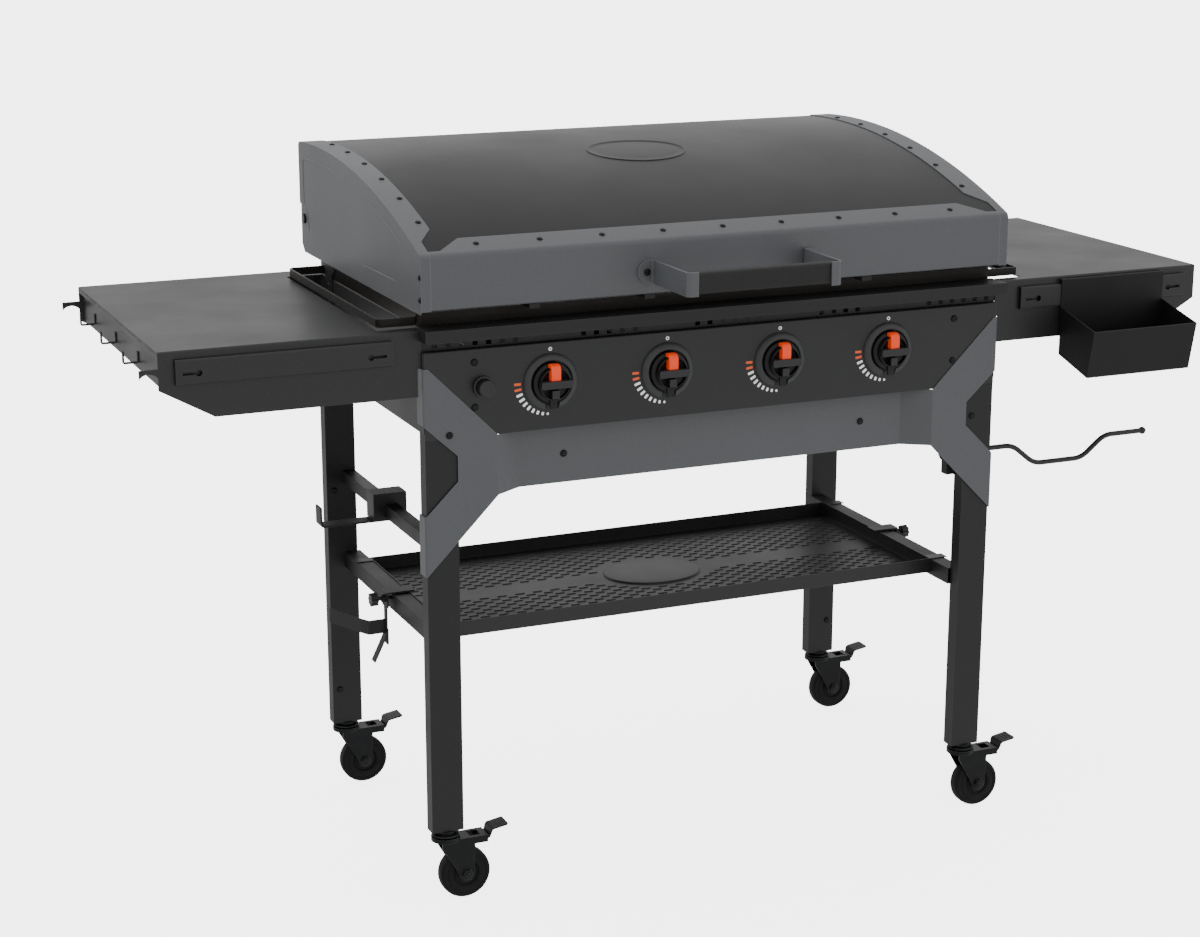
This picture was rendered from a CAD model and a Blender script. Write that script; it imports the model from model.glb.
import math
import bpy
import bmesh
from mathutils import Matrix, Vector


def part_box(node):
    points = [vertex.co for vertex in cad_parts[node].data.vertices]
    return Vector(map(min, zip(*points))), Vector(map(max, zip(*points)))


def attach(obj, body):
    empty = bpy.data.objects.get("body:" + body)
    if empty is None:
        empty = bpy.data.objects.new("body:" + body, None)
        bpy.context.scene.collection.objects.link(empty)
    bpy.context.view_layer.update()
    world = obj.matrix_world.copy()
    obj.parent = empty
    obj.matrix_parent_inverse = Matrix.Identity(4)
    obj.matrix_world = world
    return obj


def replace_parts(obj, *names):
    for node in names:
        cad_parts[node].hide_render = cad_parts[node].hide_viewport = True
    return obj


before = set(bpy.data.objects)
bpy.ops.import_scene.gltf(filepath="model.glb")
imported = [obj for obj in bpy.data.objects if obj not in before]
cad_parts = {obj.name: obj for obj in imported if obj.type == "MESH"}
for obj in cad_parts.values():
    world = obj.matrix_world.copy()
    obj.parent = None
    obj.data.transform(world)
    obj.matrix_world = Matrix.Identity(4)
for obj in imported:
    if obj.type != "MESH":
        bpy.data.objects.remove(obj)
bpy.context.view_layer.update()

print("stage 1: frame loaded,", len(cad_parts), "nodes")

# The drawing's own millimetres: y = 0 is the control panel, x = 0 the middle of the body
drawing = {"middleX": -12.5, "middleY": 227.4}


def spot(x, y, z):
    return Vector(((x - drawing["middleX"]) / 1000, (y - drawing["middleY"]) / 1000, z / 1000))


def mm(value):
    return value / 1000


def linear(hexColour):
    values = [int(hexColour[i:i + 2], 16) / 255 for i in (1, 3, 5)]
    return tuple(v / 12.92 if v <= 0.04045 else ((v + 0.055) / 1.055) ** 2.4 for v in values) + (1,)


# Shader helper: one node, its settings by name and its links by socket
def addNode(tree, kind, settings=None, links=None):
    node = tree.nodes.new(kind)
    for key, value in (settings or {}).items():
        if key in node.inputs.keys() or isinstance(key, int):
            node.inputs[key].default_value = value
        else:
            setattr(node, key, value)
    for key, source in (links or {}).items():
        tree.links.new(source, node.inputs[key])
    return node


def newFinish(name, shader):
    material = bpy.data.materials.new(name)
    material.use_nodes = True
    tree = material.node_tree
    tree.nodes.clear()
    body = addNode(tree, "ShaderNodeBsdfPrincipled", shader)
    addNode(tree, "ShaderNodeOutputMaterial", links={"Surface": body.outputs["BSDF"]})
    place = addNode(tree, "ShaderNodeTexCoord").outputs["Object"]
    return material, tree, body, place


# Wear shows where a rounded normal leaves the true one by more than "low", in full at the finish's depth
wear = {"samples": 4, "low": 0.004, "coat": 0.09, "steel": 0.12, "plastic": 0.1, "speck": 0.12}


def edgeMask(tree, radius, depth):
    soft = addNode(tree, "ShaderNodeBevel", {"samples": wear["samples"], "Radius": mm(radius)})
    true = addNode(tree, "ShaderNodeNewGeometry")
    match = addNode(tree, "ShaderNodeVectorMath", {"operation": "DOT_PRODUCT"},
                    {0: soft.outputs["Normal"], 1: true.outputs["Normal"]})
    return addNode(tree, "ShaderNodeMapRange", {"From Min": 1 - wear["low"], "From Max": 1 - wear[depth]},
                   {"Value": match.outputs["Value"]}).outputs["Result"]


def finishOff(tree, body, look, tone, rims, gloss, relief):
    # Rubbed rims over the tone, then roughness and bump: gloss is (source, low, high), relief is
    # (source, depth)
    rubbing = addNode(tree, "ShaderNodeMath", {"operation": "MULTIPLY", 1: look["rub"]}, {0: rims})
    worn = addNode(tree, "ShaderNodeMix", {"data_type": "RGBA", 7: linear(look["rubbed"])},
                   {0: rubbing.outputs[0], 6: tone.outputs[2]})
    source, low, high = gloss
    rough, vary = look["rough"], look["roughVary"]
    shine = addNode(tree, "ShaderNodeMapRange", {
        "From Min": low, "From Max": high, "To Min": rough - vary,
        "To Max": rough + vary}, {"Value": source})
    height, depth = relief
    bump = addNode(tree, "ShaderNodeBump", {"Strength": look["bump"], "Distance": mm(depth)},
                   {"Height": height})
    tree.links.new(worn.outputs[2], body.inputs["Base Color"])
    tree.links.new(shine.outputs["Result"], body.inputs["Roughness"])
    tree.links.new(bump.outputs["Normal"], body.inputs["Normal"])
    return worn.outputs[2]


def coatedSteel(name, look):
    material, tree, body, place = newFinish(name, {"Metallic": 0, "IOR": look["ior"]})
    cloud = addNode(tree, "ShaderNodeTexNoise", {"Scale": 1000 / look["cloud"], "Detail": 4,
                                                 "Roughness": 0.55}, {"Vector": place}).outputs["Fac"]
    grain = addNode(tree, "ShaderNodeTexNoise", {"Scale": 1000 / look["grain"], "Detail": 2,
                                                 "Roughness": 0.6}, {"Vector": place}).outputs["Fac"]
    dust = addNode(tree, "ShaderNodeTexVoronoi", {
        "Scale": 1000 / look["fleck"], "feature": "DISTANCE_TO_EDGE"}, {"Vector": place})
    specks = addNode(tree, "ShaderNodeMapRange", {
        "From Min": 0.0, "From Max": wear["speck"], "To Min": look["fleckShow"],
        "To Max": 0.0}, {"Value": dust.outputs["Distance"]})
    tone = addNode(tree, "ShaderNodeMix", {"data_type": "RGBA", 6: linear(look["dark"]),
                                           7: linear(look["light"])}, {0: cloud})
    speckled = addNode(tree, "ShaderNodeMix", {"data_type": "RGBA", 7: linear(look["fleckTone"])},
                       {0: specks.outputs["Result"], 6: tone.outputs[2]})
    rims = addNode(tree, "ShaderNodeMath", {"operation": "MULTIPLY"},
                   {0: edgeMask(tree, look["rubWidth"], "coat"), 1: grain})
    finishOff(tree, body, look, speckled, rims.outputs[0], (cloud, 0.3, 0.7), (grain, look["peel"]))
    return material


def bareSteel(name, look):
    material, tree, body, place = newFinish(name, {"Metallic": look["metal"]})
    stretched = addNode(tree, "ShaderNodeMapping", {"Scale": tuple(1000 / s for s in look["drawn"])},
                        {"Vector": place})
    lines = addNode(tree, "ShaderNodeTexNoise", {"Scale": 1.0, "Detail": 3, "Roughness": 0.65},
                    {"Vector": stretched.outputs["Vector"]}).outputs["Fac"]
    stain = addNode(tree, "ShaderNodeTexNoise", {"Scale": 1000 / look["stain"], "Detail": 5,
                                                 "Distortion": 0.4}, {"Vector": place}).outputs["Fac"]
    tone = addNode(tree, "ShaderNodeMix", {"data_type": "RGBA", 6: linear(look["dark"]),
                                           7: linear(look["light"])}, {0: stain})
    rims = edgeMask(tree, look["rubWidth"], "steel")
    finishOff(tree, body, look, tone, rims, (lines, 0.25, 0.75), (lines, look["scratch"]))
    return material


def mouldedPlastic(name, look):
    material, tree, body, place = newFinish(name, {"Metallic": 0, "IOR": look["ior"]})
    spark = addNode(tree, "ShaderNodeTexVoronoi", {"Scale": 1000 / look["grain"], "Randomness": 1.0},
                    {"Vector": place}).outputs["Distance"]
    flow = addNode(tree, "ShaderNodeTexNoise", {"Scale": 1000 / look["flow"], "Detail": 3},
                   {"Vector": place}).outputs["Fac"]
    tone = addNode(tree, "ShaderNodeMix", {"data_type": "RGBA", 6: linear(look["dark"]),
                                           7: linear(look["light"])}, {0: flow})
    rims = edgeMask(tree, look["rubWidth"], "plastic")
    colour = finishOff(tree, body, look, tone, rims, (flow, 0.3, 0.7), (spark, look["spark"]))
    if "daylight" in look:
        # A fluorescent or opaque pigment gives back a little more light than bare resin would
        tree.links.new(colour, body.inputs["Emission Color"])
        body.inputs["Emission Strength"].default_value = look["daylight"]
    return material


# Black polyester powder coat, sprayed and baked: deep charcoal, a fine orange peel and a wide soft sheen
blackCoat = coatedSteel("blackPowderCoat", {
    "dark": "#19191a", "light": "#212122", "cloud": 160, "grain": 1.1, "peel": 0.08, "bump": 0.35,
    "fleck": 2.6, "fleckTone": "#3a3b3c", "fleckShow": 0.25, "rough": 0.42, "roughVary": 0.05,
    "ior": 1.5, "rub": 0.5, "rubbed": "#6a6b6c", "rubWidth": 1.2})
# The same black coat on tubes and small pressings, laid on thinner and duller
tubeCoat = coatedSteel("tubePowderCoat", {
    "dark": "#161617", "light": "#1d1d1e", "cloud": 120, "grain": 1.1, "peel": 0.08, "bump": 0.35,
    "fleck": 2.6, "fleckTone": "#303132", "fleckShow": 0.25, "rough": 0.46, "roughVary": 0.05,
    "ior": 1.44, "rub": 0.5, "rubbed": "#606162", "rubWidth": 1.2})
# The hanging bin's coat: near black and flat, with only a little sheen
binCoat = coatedSteel("binPowderCoat", {
    "dark": "#0c0c0d", "light": "#121213", "cloud": 90, "grain": 1.2, "peel": 0.08, "bump": 0.4,
    "fleck": 2.6, "fleckTone": "#242526", "fleckShow": 0.2, "rough": 0.52, "roughVary": 0.05,
    "ior": 1.38, "rub": 0.5, "rubbed": "#4c4d4e", "rubWidth": 1.2})
# Grey powder coat, smoother than the black: a cool slate grey with a silky sheen
greyCoat = coatedSteel("greyPowderCoat", {
    "dark": "#505255", "light": "#5a5c5f", "cloud": 190, "grain": 1.0, "peel": 0.06, "bump": 0.3,
    "fleck": 2.2, "fleckTone": "#707377", "fleckShow": 0.25, "rough": 0.44, "roughVary": 0.05,
    "ior": 1.5, "rub": 0.6, "rubbed": "#9a9da0", "rubWidth": 1.2})
# Heat-resistant enamel paint on the hood's top sheet: blacker, glossier, with long soft reflections
hoodEnamel = coatedSteel("hoodEnamel", {
    "dark": "#101011", "light": "#161617", "cloud": 240, "grain": 1.6, "peel": 0.05, "bump": 0.22,
    "fleck": 3.0, "fleckTone": "#353536", "fleckShow": 0.2, "rough": 0.36, "roughVary": 0.04,
    "ior": 1.30, "rub": 0.4, "rubbed": "#5c5d5e", "rubWidth": 1.2})
# Black-oxide steel for screws, rivets and caster pressings: near black, with bright rubbed rims
blackOxide = bareSteel("blackOxideSteel", {
    "dark": "#18191a", "light": "#262728", "drawn": (3, 3, 3), "stain": 14, "rubWidth": 0.7, "rub": 0.6,
    "rubbed": "#7d7f81", "rough": 0.36, "roughVary": 0.08, "bump": 0.25, "scratch": 0.05, "metal": 0.75})
# Aluminised burner tubes after some cooking: dull brown-grey, darker where the flames lick
burnerSteel = bareSteel("heatStainedSteel", {
    "dark": "#1c1a18", "light": "#2f2c29", "drawn": (40, 2, 2), "stain": 35, "rubWidth": 0.8, "rub": 0.3,
    "rubbed": "#5f5a55", "rough": 0.5, "roughVary": 0.1, "bump": 0.3, "scratch": 0.06, "metal": 0.7})
# Zinc-plated steel of the gas fittings: pale blue-grey, finely streaked
zincSteel = bareSteel("zincPlatedSteel", {
    "dark": "#7d8083", "light": "#a1a4a6", "drawn": (24, 1.2, 1.2), "stain": 22, "rubWidth": 0.8, "rub": 0.4,
    "rubbed": "#c9cbcc", "rough": 0.34, "roughVary": 0.08, "bump": 0.25, "scratch": 0.05, "metal": 1.0})
# Rolled griddle steel, oiled and burnt in: brown-black patches with a slick, uneven sheen
seasonedSteel = bareSteel("seasonedGriddleSteel", {
    "dark": "#17130f", "light": "#2c2825", "drawn": (90, 2.4, 2.4), "stain": 70, "rubWidth": 1.6, "rub": 0.5,
    "rubbed": "#5b5753", "rough": 0.38, "roughVary": 0.14, "bump": 0.3, "scratch": 0.08, "metal": 0.6})
# Glass-filled nylon of the knobs, spark-eroded mould: flat black with a soft grey bloom
knobNylon = mouldedPlastic("knobNylon", {
    "dark": "#1a1a1b", "light": "#222223", "grain": 0.9, "spark": 0.05, "bump": 0.25, "flow": 18,
    "rough": 0.42, "roughVary": 0.06, "ior": 1.53, "rub": 0.35, "rubbed": "#58595a", "rubWidth": 0.8})
# The knobs' barrels: the same nylon from a polished mould, so deeper black
bodyNylon = mouldedPlastic("bodyNylon", {
    "dark": "#0b0b0c", "light": "#121213", "grain": 0.9, "spark": 0.03, "bump": 0.2, "flow": 18,
    "rough": 0.4, "roughVary": 0.06, "ior": 1.42, "rub": 0.3, "rubbed": "#48494a", "rubWidth": 0.8})
# Bezel mouldings: the same nylon, a shade greyer where it catches the light
bezelNylon = mouldedPlastic("bezelNylon", {
    "dark": "#303132", "light": "#393a3b", "grain": 0.9, "spark": 0.05, "bump": 0.25, "flow": 24,
    "rough": 0.5, "roughVary": 0.05, "ior": 1.53, "rub": 0.3, "rubbed": "#6b6c6d", "rubWidth": 0.8})
# Orange ABS pointer inserts: saturated, a little shiny, faintly darker where the melt flowed
orangeAbs = mouldedPlastic("orangeAbs", {
    "dark": "#f03a00", "light": "#ff4a04", "grain": 1.1, "spark": 0.04, "bump": 0.2, "flow": 9,
    "rough": 0.38, "roughVary": 0.06, "ior": 1.54, "rub": 0.4, "rubbed": "#ff8a52", "rubWidth": 0.6,
    "daylight": 0.3})
# Silicone grip sleeve: dull dark grey with a dry, fine grain
gripSilicone = mouldedPlastic("gripSilicone", {
    "dark": "#1d1d1d", "light": "#272727", "grain": 0.7, "spark": 0.08, "bump": 0.4, "flow": 30,
    "rough": 0.66, "roughVary": 0.06, "ior": 1.43, "rub": 0.35, "rubbed": "#4a4a4a", "rubWidth": 0.6})
# Caster wheels in black polypropylene with a thermoplastic tread: satin black, paler where they roll
casterTread = mouldedPlastic("casterTread", {
    "dark": "#080808", "light": "#0f0f0f", "grain": 1.3, "spark": 0.1, "bump": 0.35, "flow": 12,
    "rough": 0.55, "roughVary": 0.1, "ior": 1.3, "rub": 0.5, "rubbed": "#4a4a4a", "rubWidth": 1.0})
# Screen-printed marks: opaque matt ink a hair thick, slightly uneven at its rims
whiteInk = mouldedPlastic("whitePrintInk", {
    "dark": "#e6e6e4", "light": "#f7f7f6", "grain": 0.6, "spark": 0.02, "bump": 0.15, "flow": 3,
    "rough": 0.55, "roughVary": 0.05, "ior": 1.48, "rub": 0.1, "rubbed": "#cfcfcd", "rubWidth": 0.2,
    "daylight": 0.35})
orangeInk = mouldedPlastic("orangePrintInk", {
    "dark": "#e0511f", "light": "#f36a38", "grain": 0.6, "spark": 0.02, "bump": 0.15, "flow": 3,
    "rough": 0.55, "roughVary": 0.05, "ior": 1.48, "rub": 0.1, "rubbed": "#b9471d", "rubWidth": 0.2,
    "daylight": 0.2})

print("stage 2: finishes mixed")

# How a CAD mesh is cleaned for the eye: seams joined, flats merged, folds rounded, shading evened
dressing = {"weld": 0.01, "flat": 0.2, "bevel": 0.45, "bevelAngle": 32, "segments": 2, "weight": 60}
# Which finish each CAD node takes
coats = {
    blackCoat: ["bottom_shelf", "body_sides", "body_rear_panel", "control_panel", "shelf_left",
                "shelf_right", "accessory_strips"],
    tubeCoat: ["leg_front_left", "leg_front_right", "leg_rear_left", "leg_rear_right", "side_rails",
               "front_rail", "tool_hooks", "hinge_brackets", "rail_brackets", "tank_hook", "rail_clamps",
               "towel_rod"],
    binCoat: ["side_bin"],
    greyCoat: ["front_apron", "hood_side_left", "hood_side_right", "hood_front", "handle_brackets"],
    hoodEnamel: ["hood_shell"],
    seasonedSteel: ["griddle_plate", "griddle_handles"],
    zincSteel: ["gas_manifold", "inlet_fitting", "grease_cup"],
    burnerSteel: ["gas_valves", "burner_tubes"],
    blackOxide: ["hood_fasteners", "frame_bolts", "hinge_pins", "caster_stems", "caster_fork_fl",
                 "caster_fork_fr", "caster_fork_rl", "caster_fork_rr", "brake_pedal_fl", "brake_pedal_fr",
                 "brake_pedal_rl", "brake_pedal_rr"],
    knobNylon: ["knob_1", "knob_2", "knob_3", "knob_4", "igniter_barrel", "igniter_button",
                "tank_clamp_knob", "spare_clamp_knob"],
    bezelNylon: ["knob_bezels"],
    gripSilicone: ["handle_grip", "hood_bumpers"],
    casterTread: ["caster_wheel_fl", "caster_wheel_fr", "caster_wheel_rl", "caster_wheel_rr"],
}
for finish, names in coats.items():
    for name in names:
        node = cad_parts[name]
        node.data.materials.clear()
        node.data.materials.append(finish)
        weld = node.modifiers.new("joinSeams", "WELD")
        weld.merge_threshold = mm(dressing["weld"])
        merge = node.modifiers.new("joinFlats", "DECIMATE")
        merge.decimate_type = "DISSOLVE"
        merge.angle_limit = math.radians(dressing["flat"])
        soften = node.modifiers.new("softenEdges", "BEVEL")
        soften.width = mm(dressing["bevel"])
        soften.segments = dressing["segments"]
        soften.limit_method = "ANGLE"
        soften.angle_limit = math.radians(dressing["bevelAngle"])
        soften.use_clamp_overlap = True
        even = node.modifiers.new("evenShading", "WEIGHTED_NORMAL")
        even.mode = "FACE_AREA"
        even.weight = dressing["weight"]

print("stage 3: CAD nodes dressed")

# Shape helpers: points in the drawing's millimetres, rings joined into skins
def standOn(point, outward):
    # Local z points along outward, local y as near upright as it can
    return Matrix.Translation(Vector(point)) @ Vector(outward).to_track_quat("Z", "Y").to_matrix().to_4x4()


def turns(sides):
    return [2 * math.pi * i / sides for i in range(sides)]


def ring(radius, height, sides, ribs=0, rib=0.0):
    reach = [(a, radius + rib * math.cos(ribs * a)) for a in turns(sides)]
    return [(r * math.cos(a), r * math.sin(a), height) for a, r in reach]


def hexRing(radius, height, sides):
    # A hexagon drawn with as many points as the round rings it joins
    points = []
    for a in turns(sides):
        reach = radius * math.cos(math.pi / 6) / math.cos(a % (math.pi / 3) - math.pi / 6)
        points.append((reach * math.cos(a), reach * math.sin(a), height))
    return points


def loft(shape, rings, seat=None, joined=False):
    seat = seat or Matrix()
    made = [[shape.verts.new(spot(*(seat @ Vector(point)))) for point in points] for points in rings]
    pairs = list(zip(made, made[1:]))
    if joined:
        pairs.append((made[-1], made[0]))
    else:
        shape.faces.new(list(reversed(made[0])))
        shape.faces.new(made[-1])
    for near, far in pairs:
        for i in range(len(near)):
            j = (i + 1) % len(near)
            shape.faces.new((near[i], near[j], far[j], far[i]))


def turned(shape, profile, seat, sides, joined=False):
    loft(shape, [ring(r, h, sides) for r, h in profile], seat, joined)


# A bend takes at most this share of the straight beside it
bendShare = 0.48


def roundedPath(points, radius, steps):
    points = [Vector(p) for p in points]
    path = [points[0]]
    for before, corner, after in zip(points, points[1:], points[2:]):
        a, b = before - corner, after - corner
        reach = min(radius, a.length * bendShare, b.length * bendShare)
        start, end = corner + a.normalized() * reach, corner + b.normalized() * reach
        for i in range(steps + 1):
            t = i / steps
            path.append(start.lerp(corner, t).lerp(corner.lerp(end, t), t))
    return path + [points[-1]]


def tube(shape, path, radius, normal, sides, fade=0):
    # Fade is the number of rings at each end over which the tube thins out
    normal = Vector(normal)
    rings = []
    for i, point in enumerate(path):
        along = (path[min(i + 1, len(path) - 1)] - path[max(i - 1, 0)]).normalized()
        across = along.cross(normal).normalized()
        size = radius * min(1, (min(i, len(path) - 1 - i) + 0.4) / fade) if fade else radius
        rings.append([point + across * size * math.cos(a) + normal * size * math.sin(a)
                      for a in turns(sides)])
    loft(shape, rings)


# Rims of moulded pieces: small rounds on every fold sharper than the angle
rims = {"segments": 3, "angle": 30}


def newPiece(name, shape, finish, body, crease=35, soften=0.0):
    bmesh.ops.recalc_face_normals(shape, faces=shape.faces)
    mesh = bpy.data.meshes.new(name)
    shape.to_mesh(mesh)
    shape.free()
    mesh.materials.append(finish)
    for face in mesh.polygons:
        face.use_smooth = True
    mesh.set_sharp_from_angle(angle=math.radians(crease))
    piece = bpy.data.objects.new(name, mesh)
    bpy.context.scene.collection.objects.link(piece)
    if soften:
        bevel = piece.modifiers.new("roundedRims", "BEVEL")
        bevel.width = mm(soften)
        bevel.segments = rims["segments"]
        bevel.limit_method = "ANGLE"
        bevel.angle_limit = math.radians(rims["angle"])
        bevel.harden_normals = True
    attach(piece, body)
    return piece


# Bezel rings: a soft slope down to the panel, open below for the pointer
bezel = {"knobX": [-269.4, -89.8, 89.8, 269.4], "knobZ": 758.6, "open": 11, "steps": 90,
         "slope": [(31, 0), (41, 0), (40.7, 1.5), (39.4, 3.5), (37, 5.3), (34.2, 6.6), (32.2, 7),
                   (31.2, 6.5)]}


def buildBezels():
    shape = bmesh.new()
    for x in bezel["knobX"]:
        seat = standOn((x, 0, bezel["knobZ"]), (0, -1, 0))
        rings = []
        for i in range(bezel["steps"] + 1):
            section = []
            for r, h in bezel["slope"]:
                gap = math.asin(bezel["open"] / r)
                a = -math.pi / 2 + gap + (2 * math.pi - 2 * gap) * i / bezel["steps"]
                section.append((r * math.cos(a), r * math.sin(a), h))
            rings.append(section)
        loft(shape, rings, seat)
    piece = newPiece("bezel_rings", shape, bezelNylon, "frame", crease=42)
    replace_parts(piece, "knob_bezels")


# Burner knobs: a round skirt, a rimmed face, a grip bar across it, two blocks below and an orange tab above
knob = {"sides": 64, "barSteps": 3, "foldSteps": 8,
        "turned": [(4.2, 0.6), (29, 0.6), (29.2, 1.6), (29.0, 8.2), (28.0, 9.4), (24.4, 9.9), (23.7, 10.6),
                   (23.5, 19.2), (23.0, 20.0), (21.9, 20.0), (21.4, 19.3), (21.2, 13.4), (20.4, 12.8),
                   (0.6, 12.8)],
        "bar": {"half": 5.4, "low": 12, "high": 26.4, "reach": 23.4, "round": 1.1},
        "pointer": {"half": 5.5, "low": -36.8, "high": -21.5, "face": 12.6, "back": 9.2, "round": 1.0},
        "stub": {"half": 5.6, "low": -20.9, "high": -8.6, "face": 21.6, "back": 12, "round": 0.9},
        "tab": {"half": 7.2, "low": 5.2, "face": 22.9, "back": 9.4, "top": 27.6, "fold": 8.5, "round": 0.9}}


def buildKnobs():
    bar, tab, steps = knob["bar"], knob["tab"], knob["barSteps"]
    for i, x in enumerate(bezel["knobX"], 1):
        seat = standOn((x, 0, bezel["knobZ"]), (0, -1, 0))
        body = "burner_knob_%d" % i
        face = bmesh.new()
        turned(face, knob["turned"], seat, knob["sides"])
        piece = newPiece("knob_face_%d" % i, face, bodyNylon, body, crease=40)
        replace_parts(piece, "knob_%d" % i)
        grips = bmesh.new()
        arc = [math.asin(bar["half"] / bar["reach"]) * k / steps for k in range(-steps, steps + 1)]
        outline = [(side * bar["reach"] * math.cos(a), side * bar["reach"] * math.sin(a))
                   for side in (1, -1) for a in arc]
        loft(grips, [[(u, v, h) for u, v in outline] for h in (bar["low"], bar["high"])], seat)
        newPiece("knob_bar_%d" % i, grips, knobNylon, body, soften=bar["round"])
        for part, finish in (("pointer", bodyNylon), ("stub", knobNylon)):
            size, block = knob[part], bmesh.new()
            half, low, high = size["half"], size["low"], size["high"]
            sides = [(-half, low), (half, low), (half, high), (-half, high)]
            loft(block, [[(u, v, h) for u, v in sides] for h in (size["back"], size["face"])], seat)
            newPiece("knob_%s_%d" % (part, i), block, finish, body, soften=size["round"])
        orange = bmesh.new()
        outline = [(tab["low"], tab["back"]), (tab["low"], tab["face"])]
        for k in range(knob["foldSteps"] + 1):
            a = math.pi / 2 * k / knob["foldSteps"]
            outline.append((tab["top"] - tab["fold"] * (1 - math.sin(a)),
                            tab["face"] - tab["fold"] * (1 - math.cos(a))))
        outline.append((tab["top"], tab["back"]))
        loft(orange, [[(side, v, h) for v, h in outline] for side in (-tab["half"], tab["half"])], seat)
        newPiece("orange_tab_%d" % i, orange, orangeAbs, body, soften=tab["round"])


# Keeps a rounded corner just short of half the width
hair = 0.01
# Printed marks: a ring above each knob and ten ticks that shrink from nine o'clock to six
marks = {"inner": 44.2, "longest": 10.4, "shortest": 3.7, "width": 3.6, "count": 10, "step": 9.4,
         "orange": 2, "ringHigh": 46.6, "ringOuter": 2.7, "ringInner": 1.35, "ringSides": 28, "ink": 0.12,
         "sunk": 0.05, "corner": 0.9}


def tickOutline(length, width, corner):
    points = []
    for sx, sy, start in ((1, 1, 0), (-1, 1, 90), (-1, -1, 180), (1, -1, 270)):
        for k in range(4):
            a = math.radians(start + 30 * k)
            points.append((sx * (length / 2 - corner) + corner * math.cos(a),
                           sy * (width / 2 - corner) + corner * math.sin(a)))
    return points


def buildMarks():
    orange, white = bmesh.new(), bmesh.new()
    for x in bezel["knobX"]:
        seat = standOn((x, 0, bezel["knobZ"]), (0, -1, 0))
        for i in range(marks["count"]):
            share = max(0, i - 1) / (marks["count"] - 2)
            length = marks["longest"] + (marks["shortest"] - marks["longest"]) * share
            corner = marks["corner"] if i < marks["count"] - 1 else marks["width"] / 2
            turn = Matrix.Rotation(math.radians(180 + marks["step"] * i), 4, "Z")
            middle = Matrix.Translation((marks["inner"] + length / 2, 0, 0))
            outline = tickOutline(max(length, marks["width"]), marks["width"], corner - hair)
            rings = [[(a, b, h) for a, b in outline] for h in (-marks["sunk"], marks["ink"])]
            loft(orange if i < marks["orange"] else white, rings, seat @ turn @ middle)
        high = standOn((x, 0, bezel["knobZ"] + marks["ringHigh"]), (0, -1, 0))
        inner, outer = marks["ringInner"], marks["ringOuter"]
        turned(white, [(inner, -marks["sunk"]), (outer, -marks["sunk"]), (outer, marks["ink"]),
                       (inner, marks["ink"])], high, marks["ringSides"], joined=True)
    newPiece("panel_marks_orange", orange, orangeInk, "frame")
    newPiece("panel_marks_white", white, whiteInk, "frame")


# Button-head screws with hex sockets, and the nuts behind them; each place ends with what is clamped there
screw = {"sides": 24, "socket": 1.7, "socketLow": 1.0, "top": 2.55, "shank": 2.4, "nut": 5.2, "nutHigh": 3,
         "chamfer": 0.6, "lead": 0.5, "tip": (2.2, 0.8),
         "head": [(5.1, 0), (5.2, 0.7), (4.9, 1.4), (4.2, 2.05), (3.1, 2.45), (2.3, 2.55)],
         "single": [(-420.5, -1.5, 696.2, 4.3), (420.5, 1.2, 642.2, 1.6)],
         "frontPairs": [(443.3, 478.4, 497.2, 1.6), (443.3, 478.4, 165.2, 1.6), (240, 24.6, 646, 1.5),
                        (382, 0, 795.7, 1.2), (382, 0, 731.9, 1.2)],
         "sidePairs": [(458.1, 60, 775.5, 2.8), (458.1, 440, 775.5, 2.8), (459.5, 422, 835, 4.2),
                       (459.5, 422, 815, 4.2)]}


def addScrew(shape, point, outward, grip):
    seat, sides = standOn(point, outward), screw["sides"]
    rings = [ring(r, h, sides) for r, h in screw["head"]]
    rings += [hexRing(screw["socket"], h, sides) for h in (screw["top"], screw["socketLow"])]
    loft(shape, rings, seat)
    shank, nut, narrow = screw["shank"], screw["nut"], screw["nut"] - screw["chamfer"]
    near, far = -grip, -grip - screw["nutHigh"]
    tip, past = screw["tip"]
    loft(shape, [ring(shank, 0, sides), ring(shank, near, sides), hexRing(narrow, near, sides),
                 hexRing(nut, near - screw["lead"], sides), hexRing(nut, far + screw["lead"], sides),
                 hexRing(narrow, far, sides), ring(shank, far, sides), ring(tip, far - past, sides)], seat)


def buildScrews():
    shape = bmesh.new()
    for x, y, z, grip in screw["single"]:
        addScrew(shape, (x, y, z), (0, -1, 0), grip)
    for side in (-1, 1):
        for x, y, z, grip in screw["frontPairs"]:
            addScrew(shape, (side * x, y, z), (0, -1, 0), grip)
        for x, y, z, grip in screw["sidePairs"]:
            addScrew(shape, (side * x, y, z), (side, 0, 0), grip)
    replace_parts(newPiece("frame_screws", shape, blackOxide, "frame"), "frame_bolts")


# Hood: domed rivets along the seams, two handle screws, pressed lines and an oval pressing
hood = {"frontY": -12.3, "depth": 568.3, "half": 461.5, "top": 1041.4, "crestY": 462.2, "arch": 1277.3,
        "rivetShares": [0.155, 0.292, 0.43, 0.569, 0.709, 0.846], "rivetIn": 28, "frontPitch": 93.4,
        "frontY0": 10, "cornerIn": 5, "cornerZ": (889.5, 920.5), "handle": (129, -15.3, 905.5, 4.2),
        "dome": [(4.2, -0.6), (4.3, 0.35), (4.05, 0.95), (3.4, 1.55), (2.4, 1.95), (1.2, 2.18), (0.4, 2.22)],
        "domeSides": 24, "line": 1.25, "lineSides": 10, "lineFade": 3, "sink": 0.45, "drop": 25,
        "archFrom": 505, "archTo": 60, "archStep": -12,
        "back": [(508.5, 894), (509, 912), (513, 930), (521, 939.5), (532, 942), (532.5, 1014)],
        "low": [(20, 898.6), (120, 898.2), (220, 897), (316, 895)], "backBend": 8, "lowBend": 20,
        "bendSteps": 4}


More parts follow.
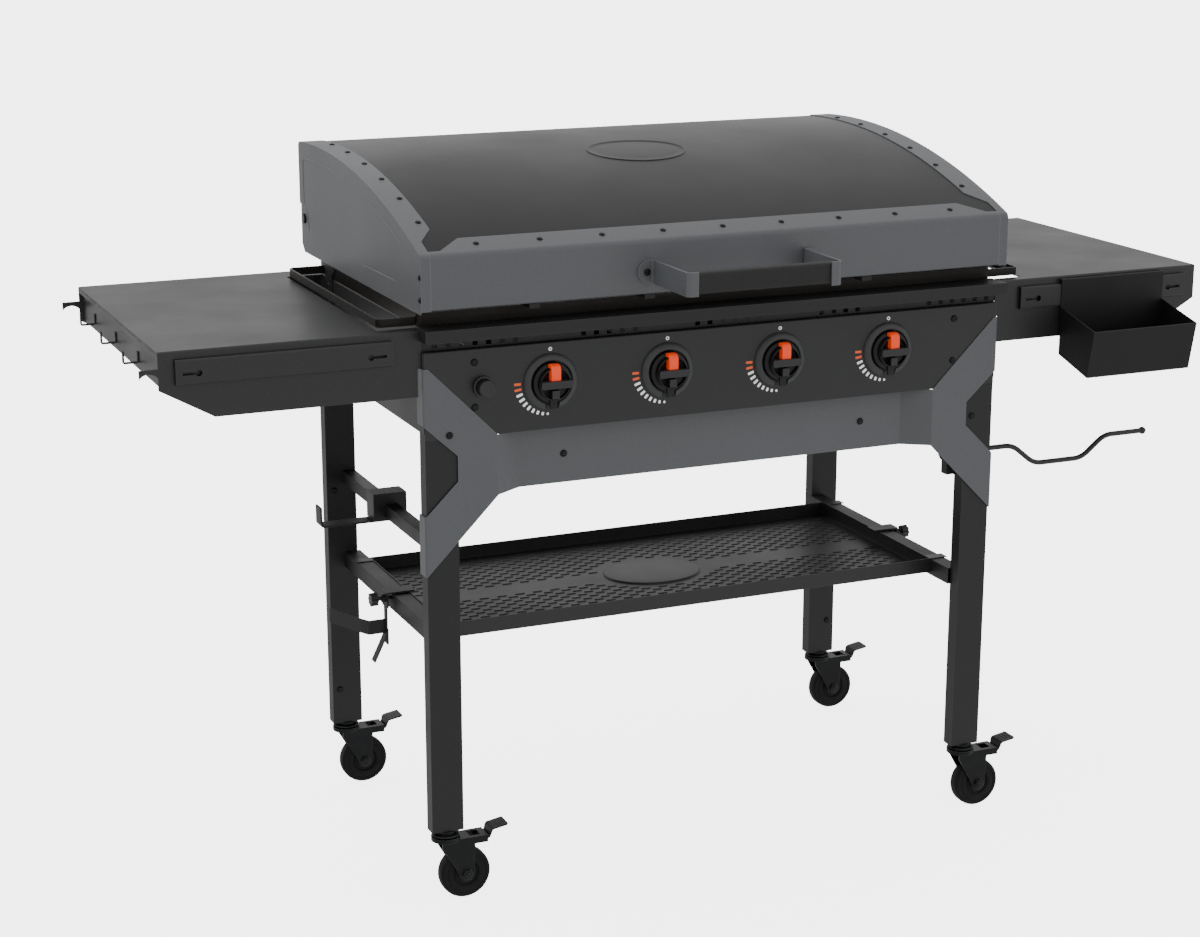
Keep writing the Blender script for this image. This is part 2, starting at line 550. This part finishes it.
def archHeight(y):
    return hood["top"] - hood["arch"] + math.sqrt(hood["arch"] ** 2 - (y - hood["crestY"]) ** 2)


def buildHoodFasteners():
    shape = bmesh.new()
    spots = []
    for share in hood["rivetShares"]:
        y = hood["frontY"] + hood["depth"] * share
        spots += [(side * (hood["half"] - hood["rivetIn"]), y) for side in (-1, 1)]
    spots += [(i * hood["frontPitch"], hood["frontY0"]) for i in range(-4, 5)]
    for x, y in spots:
        outward = Vector((0, (y - hood["crestY"]) / hood["arch"], 1)).normalized()
        turned(shape, hood["dome"], standOn((x, y, archHeight(y)), outward), hood["domeSides"])
    x, y, z, grip = hood["handle"]
    for side in (-1, 1):
        for high in hood["cornerZ"]:
            place = (side * hood["half"], hood["frontY"] + hood["cornerIn"], high)
            turned(shape, hood["dome"], standOn(place, (side, 0, 0)), hood["domeSides"])
        addScrew(shape, (side * x, y, z), (0, -1, 0), grip)
    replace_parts(newPiece("hood_rivets", shape, blackOxide, "hood"), "hood_fasteners")


def buildHoodLines():
    shape = bmesh.new()
    along = range(hood["archFrom"], hood["archTo"], hood["archStep"])
    arch = [(y, archHeight(y) - hood["drop"]) for y in along]
    for side in (-1, 1):
        x = side * (hood["half"] - hood["sink"])
        for path, radius in ((hood["back"] + arch, hood["backBend"]), (hood["low"], hood["lowBend"])):
            points = roundedPath([(x, y, z) for y, z in path], radius, hood["bendSteps"])
            tube(shape, points, hood["line"], (side, 0, 0), hood["lineSides"], hood["lineFade"])
    newPiece("hood_pressed_lines", shape, greyCoat, "hood", crease=60)


# An oval pressing: a rim line round a plain field, laid on whatever height the sheet has
def ovalPressing(shape, middle, size, surface, rings, sides=96):
    skins = []
    for inset, lift in rings:
        points = []
        for a in turns(sides):
            x = middle[0] + (size[0] - inset) * math.cos(a)
            y = middle[1] + (size[1] - inset) * math.sin(a)
            points.append((x, y, surface(y) + lift))
        skins.append(points)
    loft(shape, skins)


# The hood's top and back in one rolled sheet, a metal's thickness under the grey edge strips
sheet = {"half": 460.2, "thick": 1.2, "under": 1.25, "start": -6, "backY": 556, "backLow": 943, "bend": 8,
         "steps": 110, "bendSteps": 8}


def buildHoodSheet():
    under, thick = sheet["under"], sheet["thick"]
    outer = []
    turnY = sheet["backY"] - sheet["bend"] - under
    for i in range(sheet["steps"] + 1):
        y = sheet["start"] + (turnY - sheet["start"]) * i / sheet["steps"]
        outer.append((y, archHeight(y) - under))
    topZ = outer[-1][1]
    for k in range(1, sheet["bendSteps"] + 1):
        a = math.pi / 2 * k / sheet["bendSteps"]
        outer.append((turnY + sheet["bend"] * math.sin(a), topZ - sheet["bend"] * (1 - math.cos(a))))
    outer.append((sheet["backY"] - under, sheet["backLow"]))
    inner = []
    for i, (y, z) in enumerate(outer):
        before, after = outer[max(i - 1, 0)], outer[min(i + 1, len(outer) - 1)]
        along = Vector((after[0] - before[0], after[1] - before[1])).normalized()
        inner.append((y + along.y * thick, z - along.x * thick))
    shape = bmesh.new()
    section = outer + list(reversed(inner))
    loft(shape, [[(x, y, z) for y, z in section] for x in (-sheet["half"], sheet["half"])])
    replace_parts(newPiece("hood_top_sheet", shape, hoodEnamel, "hood", crease=30), "hood_shell")


# A plain oval pressed up in the middle of the hood's top
hoodOval = {"middle": (-2, 308), "size": (80, 62),
            "rings": [(0, -0.4), (0.8, 0.7), (2.2, 1.3), (3.8, 1.1), (5.4, 0.25), (14, 0.25), (24, 0.25),
                      (36, 0.25), (50, 0.25)]}


def buildHoodOval():
    shape = bmesh.new()
    ovalPressing(shape, hoodOval["middle"], hoodOval["size"], lambda y: archHeight(y) - sheet["under"],
                 hoodOval["rings"])
    newPiece("hood_oval_pressing", shape, hoodEnamel, "hood", crease=60)


# Bottom shelf: short raised dashes in two bands, and a plain raised oval between them
tray = {"middleY": 250, "floor": 375.8, "pitch": 28.9, "row": 10.2, "first": 27, "rows": 13, "length": 15.5,
        "width": 4.2, "rise": 1.15, "reach": 382, "across": 14, "oval": (79, 62), "ovalY": 245,
        "clear": (15, 11), "layers": [(1.0, -0.2), (0.94, 0.45), (0.8, 0.85), (0.5, 1.0)],
        "ovalRings": [(0, -0.3), (0.5, 1.2), (1.6, 2.1), (3.2, 2.3), (20, 2.3), (40, 2.3)]}


def buildTrayPressings():
    shape = bmesh.new()
    half = tray["width"] / 2
    outline = tickOutline(tray["length"], tray["width"], half - 2 * hair)
    clear = [size + more for size, more in zip(tray["oval"], tray["clear"])]
    for band in (-1, 1):
        for row in range(tray["rows"]):
            y = tray["middleY"] + band * (tray["first"] + row * tray["row"])
            for step in range(-tray["across"], tray["across"] + 1):
                x = (step + 0.5 * (row % 2)) * tray["pitch"]
                if abs(x) > tray["reach"] or math.hypot(x / clear[0], (y - tray["ovalY"]) / clear[1]) < 1:
                    continue
                loft(shape, [[(x + math.copysign(abs(a) - half * (1 - s), a), y + b * s,
                               tray["floor"] + h * tray["rise"]) for a, b in outline]
                             for s, h in tray["layers"]])
    ovalPressing(shape, (0, tray["ovalY"]), tray["oval"], lambda y: tray["floor"], tray["ovalRings"])
    newPiece("shelf_pressings", shape, blackCoat, "frame", crease=50)


# Handle grip: a sleeve of fine ribs with chamfered ends
grip = {"half": 117, "middleY": -114.25, "middleZ": 905.5, "deep": 21.6, "high": 30.2, "corner": 5,
        "rib": 0.35, "step": 1.3, "every": 3, "plain": 14, "chamfer": 2.4}


def buildGrip():
    shape = bmesh.new()
    rings = []
    count = int(2 * grip["half"] / grip["step"])
    for i in range(count + 1):
        x = -grip["half"] + 2 * grip["half"] * i / count
        inset = max(0, grip["chamfer"] - (grip["half"] - abs(x)))
        inset += grip["rib"] if i % grip["every"] == 0 and abs(x) < grip["half"] - grip["plain"] else 0
        outline = tickOutline(grip["deep"] - 2 * inset, grip["high"] - 2 * inset, grip["corner"])
        rings.append([(x, grip["middleY"] + a, grip["middleZ"] + b) for a, b in outline])
    loft(shape, rings)
    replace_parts(newPiece("ribbed_grip", shape, gripSilicone, "hood", crease=40), "handle_grip")


# Side shelves' ends: the open joint under the folded top and the one behind the front skirt, both in shade
joint = {"end": 819.15, "inset": 6, "top": 843.8, "deep": 3.2, "front": 8.4, "back": 509.6, "low": 794.2,
         "corner": 2.2, "cornerTop": 835, "proud": 0.2}


def slab(shape, low, high):
    plan = [(low[0], low[1]), (high[0], low[1]), (high[0], high[1]), (low[0], high[1])]
    loft(shape, [[(x, y, z) for x, y in plan] for z in (low[2], high[2])])


def buildShelfJoints():
    shape = bmesh.new()
    for side in (-1, 1):
        outer = side * (joint["end"] + joint["proud"])
        slab(shape, (outer, joint["front"], joint["top"] - joint["deep"]),
             (outer - side, joint["back"], joint["top"]))
        outer -= side * joint["inset"]
        slab(shape, (outer, joint["front"], joint["low"]),
             (outer - side, joint["front"] + joint["corner"], joint["cornerTop"]))
    newPiece("shelf_end_joints", shape, bodyNylon, "frame")


# Towel rod: one bar bent cold, with a ball at its free end
rod = {"y": 40, "radius": 4, "bend": 14, "bendSteps": 8, "sides": 20, "ball": 6, "ballTurn": 78,
       "ballSteps": 12,
       "path": [(389.7, 576.5), (521, 576.5), (562, 543.5), (650, 543.5), (691, 576.5), (763, 576.5)]}


def buildTowelRod():
    shape = bmesh.new()
    path = roundedPath([(x, rod["y"], z) for x, z in rod["path"]], rod["bend"], rod["bendSteps"])
    tube(shape, path, rod["radius"], (0, 1, 0), rod["sides"])
    end = rod["path"][-1]
    steps = rod["ballSteps"]
    angles = [math.radians(rod["ballTurn"] * (2 * i / steps - 1)) for i in range(steps + 1)]
    ball = [(rod["ball"] * math.cos(a), rod["ball"] * math.sin(a)) for a in angles]
    turned(shape, ball, standOn((end[0], rod["y"], end[1]), (1, 0, 0)), rod["sides"])
    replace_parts(newPiece("towel_bar", shape, blackCoat, "frame", crease=50), "towel_rod")


# Casters: tread, groove and hub turned in one, with nuts, races and pedal ridges of their own
caster = {"legX": 431.5, "frontY": 12.6, "rearY": 489.8, "trail": 27, "axleZ": 38.2, "cheek": 15,
          "side": [(4.3, 8.6), (7.4, 8.6), (8.2, 9.3), (9.8, 9.3), (10.6, 8.5), (17.8, 8.4), (18.8, 9.2),
                   (19.4, 10.5), (20.6, 10.9), (27.4, 10.9), (28.2, 10.5), (28.7, 9.7), (30.3, 9.7),
                   (30.8, 10.5), (31.6, 10.9), (34.4, 10.7), (36.4, 9.7), (37.6, 7.6), (38.1, 4.6),
                   (38.2, 2)],
          "nut": [(ring, 8.6, 0), (ring, 8.6, 0.9), (hexRing, 7.8, 0.9), (hexRing, 7.8, 3.7),
                  (ring, 6.2, 4.3), (ring, 3.4, 4.3), (ring, 3.4, 5.2), (ring, 2.6, 5.8)],
          "race": [(14.8, 99.8), (19.4, 100.1), (20.7, 101.5), (19.9, 103.1), (16.4, 104.6), (14.8, 105)],
          "ridges": [72, 77, 82, 87], "ridge": 0.75, "ridgeHalf": 10.5, "padEnd": 92, "padSlope": 4 / 24,
          "wheelSides": 72, "nutSides": 24, "raceSides": 40, "ridgeSides": 10, "ridgeSteps": 3}


def buildCasters():
    places = {"fl": (-1, caster["frontY"]), "fr": (1, caster["frontY"]), "rl": (-1, caster["rearY"]),
              "rr": (1, caster["rearY"])}
    races, steps = bmesh.new(), caster["ridgeSteps"]
    for key, (side, y) in places.items():
        x = side * caster["legX"]
        axle = (x + caster["trail"], y, caster["axleZ"])
        wheel = bmesh.new()
        profile = caster["side"] + [(r, -h) for r, h in reversed(caster["side"])]
        turned(wheel, profile, standOn(axle, (0, -1, 0)), caster["wheelSides"], joined=True)
        piece = newPiece("wheel_" + key + "_turned", wheel, casterTread, "wheel_" + key, crease=48)
        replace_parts(piece, "caster_wheel_" + key)
        nuts = bmesh.new()
        for out in (-1, 1):
            seat = standOn((axle[0], y + out * caster["cheek"], axle[2]), (0, out, 0))
            loft(nuts, [shaped(r, h, caster["nutSides"]) for shaped, r, h in caster["nut"]], seat)
        newPiece("axle_nuts_" + key, nuts, blackOxide, "fork_" + key)
        ridges = bmesh.new()
        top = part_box("brake_pedal_" + key)[1][2] * 1000
        for ahead in caster["ridges"]:
            z = top - (caster["padEnd"] - ahead) * caster["padSlope"]
            line = [Vector((x + ahead, y + caster["ridgeHalf"] * i / steps, z))
                    for i in range(-steps, steps + 1)]
            tube(ridges, line, caster["ridge"], (0, 0, 1), caster["ridgeSides"], fade=1)
        newPiece("pedal_ridges_" + key, ridges, blackOxide, "pedal_" + key, crease=60)
        turned(races, caster["race"], Matrix.Translation((x, y, 0)), caster["raceSides"], joined=True)
    newPiece("swivel_races", races, blackOxide, "frame")


# Igniter: a knurled collar ring on the panel and a dished cap on the button
igniter = {"x": -369.8, "z": 760.6, "sides": 120, "ribs": 30,
           "collar": [(12.0, 4.6, 0), (12.4, 5.4, 0), (14.2, 5.4, 0), (15.1, 4.7, 0.28), (15.3, 0.7, 0.28),
                      (15.0, 0, 0)],
           "cap": [(11.55, 5.9, 0), (11.6, 9.8, 0), (12.1, 10.4, 0.3), (12.1, 17.4, 0.3), (11.5, 18.6, 0.1),
                   (10.2, 19.2, 0), (8.6, 19.2, 0), (7.6, 18.95, 0), (2.0, 18.9, 0)]}


def buildIgniter():
    seat = standOn((igniter["x"], 0, igniter["z"]), (0, -1, 0))
    for part, name, body in (("collar", "igniter_collar_ring", "frame"), ("cap", "igniter_cap", "button")):
        shape = bmesh.new()
        rings = [ring(r, h, igniter["sides"], igniter["ribs"], k) for r, h, k in igniter[part]]
        loft(shape, rings, seat, joined=part == "collar")
        newPiece(name, shape, knobNylon, body, crease=40)


for build in (buildBezels, buildKnobs, buildMarks, buildScrews, buildHoodFasteners, buildHoodLines,
              buildHoodSheet, buildHoodOval, buildTrayPressings, buildGrip, buildShelfJoints, buildTowelRod,
              buildCasters, buildIgniter):
    build()
print("stage 4: detailed pieces built")

# Studio: a pale bowl with the model on its flat middle, a room bright behind and in front, two soft lamps
studio = {"floorTone": "#f1f1f0", "fibreTone": "#f7f7f6", "fibre": 300, "floorGlow": 4.0, "rough": 0.9,
          "ior": 1.3, "flat": 9.0, "bowl": 26.0, "rise": 16, "sides": 96,
          "room": {"back": 0.70, "front": 0.71, "left": -0.12, "right": 0.18, "above": 0.20, "below": 0.06}}
# Lamps in metres: place, target, size and power
lamps = {"keyLamp": ((-1.6, 0.6, 3.0), (0, 0, 0.7), (2.6, 1.8), 26),
         "leftLamp": ((-3.4, -1.4, 1.6), (0, 0, 0.6), (2.0, 1.6), 2.5)}


def studioPaper():
    paper, tree, body, place = newFinish("studioPaper", {
        "Roughness": studio["rough"], "IOR": studio["ior"], "Emission Color": (1, 1, 1, 1),
        "Emission Strength": studio["floorGlow"]})
    fibre = addNode(tree, "ShaderNodeTexNoise", {"Scale": studio["fibre"], "Detail": 2}, {"Vector": place})
    tint = addNode(tree, "ShaderNodeMix", {"data_type": "RGBA", 6: linear(studio["floorTone"]),
                                           7: linear(studio["fibreTone"])}, {0: fibre.outputs["Fac"]})
    tree.links.new(tint.outputs[2], body.inputs["Base Color"])
    return paper


def studioRound(name, profile, paper, blocks):
    sides = studio["sides"]
    points = [point for r, z in profile for point in ring(r, z, sides)]
    faces = []
    for k in range(len(profile) - 1):
        low, high = sides * k, sides * (k + 1)
        faces += [(low + i, low + (i + 1) % sides, high + (i + 1) % sides, high + i) for i in range(sides)]
    mesh = bpy.data.meshes.new(name)
    mesh.from_pydata(points, [], faces or [tuple(range(sides))])
    mesh.materials.append(paper)
    shape = bpy.data.objects.new(name, mesh)
    bpy.context.scene.collection.objects.link(shape)
    for face in mesh.polygons:
        face.use_smooth = True
    # The glow is for the eye only, so the object is lit by the room and the lamps
    shape.visible_glossy = False
    shape.visible_diffuse = False
    shape.visible_shadow = blocks


def studioBowl():
    flat, bowl, rise = studio["flat"], studio["bowl"], studio["rise"]
    paper = studioPaper()
    angles = [math.pi / 2 * i / rise for i in range(rise + 1)]
    wall = [(flat + bowl * math.sin(a), bowl - bowl * math.cos(a)) for a in angles]
    studioRound("studio_floor", [(flat, 0.0)], paper, True)
    studioRound("studio_bowl", wall, paper, False)


def softLamp(name, place, target, size, power):
    lamp = bpy.data.lights.new(name, "AREA")
    lamp.shape = "RECTANGLE"
    lamp.size, lamp.size_y = size
    lamp.energy = power
    holder = bpy.data.objects.new(name, lamp)
    bpy.context.scene.collection.objects.link(holder)
    holder.location = place
    holder.rotation_euler = (Vector(target) - Vector(place)).to_track_quat("-Z", "Y").to_euler()


def paleRoom():
    room = studio["room"]
    world = bpy.data.worlds.new("paleRoom")
    world.use_nodes = True
    tree = world.node_tree
    background = tree.nodes["Background"]
    direction = addNode(tree, "ShaderNodeTexCoord").outputs["Generated"]
    parts = addNode(tree, "ShaderNodeSeparateXYZ", links={0: direction})
    total = None
    for axis, low, high in (("X", "left", "right"), ("Y", "front", "back"), ("Z", "below", "above")):
        share = addNode(tree, "ShaderNodeMapRange", {
            "interpolation_type": "SMOOTHSTEP", "From Min": -1.0, "From Max": 1.0, "To Min": room[low],
            "To Max": room[high]}, {"Value": parts.outputs[axis]}).outputs["Result"]
        total = share if total is None else addNode(tree, "ShaderNodeMath", {"operation": "ADD"},
                                                    {0: total, 1: share}).outputs[0]
    tree.links.new(total, background.inputs["Strength"])
    background.inputs["Color"].default_value = (1, 1, 1, 1)
    bpy.context.scene.world = world


studioBowl()
for name, settings in lamps.items():
    softLamp(name, *settings)
paleRoom()

# Camera solved from the photo's edges
view = {"place": (-1.48727, -3.26347, 1.5129), "tilt": 74.96, "turn": -23.27, "lens": 72.21, "sensor": 36}
camera = bpy.data.cameras.new("photoCamera")
camera.sensor_width = view["sensor"]
camera.sensor_fit = "HORIZONTAL"
camera.lens = view["lens"]
cameraHolder = bpy.data.objects.new("photoCamera", camera)
bpy.context.scene.collection.objects.link(cameraHolder)
cameraHolder.location = view["place"]
cameraHolder.rotation_euler = (math.radians(view["tilt"]), 0, math.radians(view["turn"]))
bpy.context.scene.camera = cameraHolder

print("stage 5: studio and camera set")
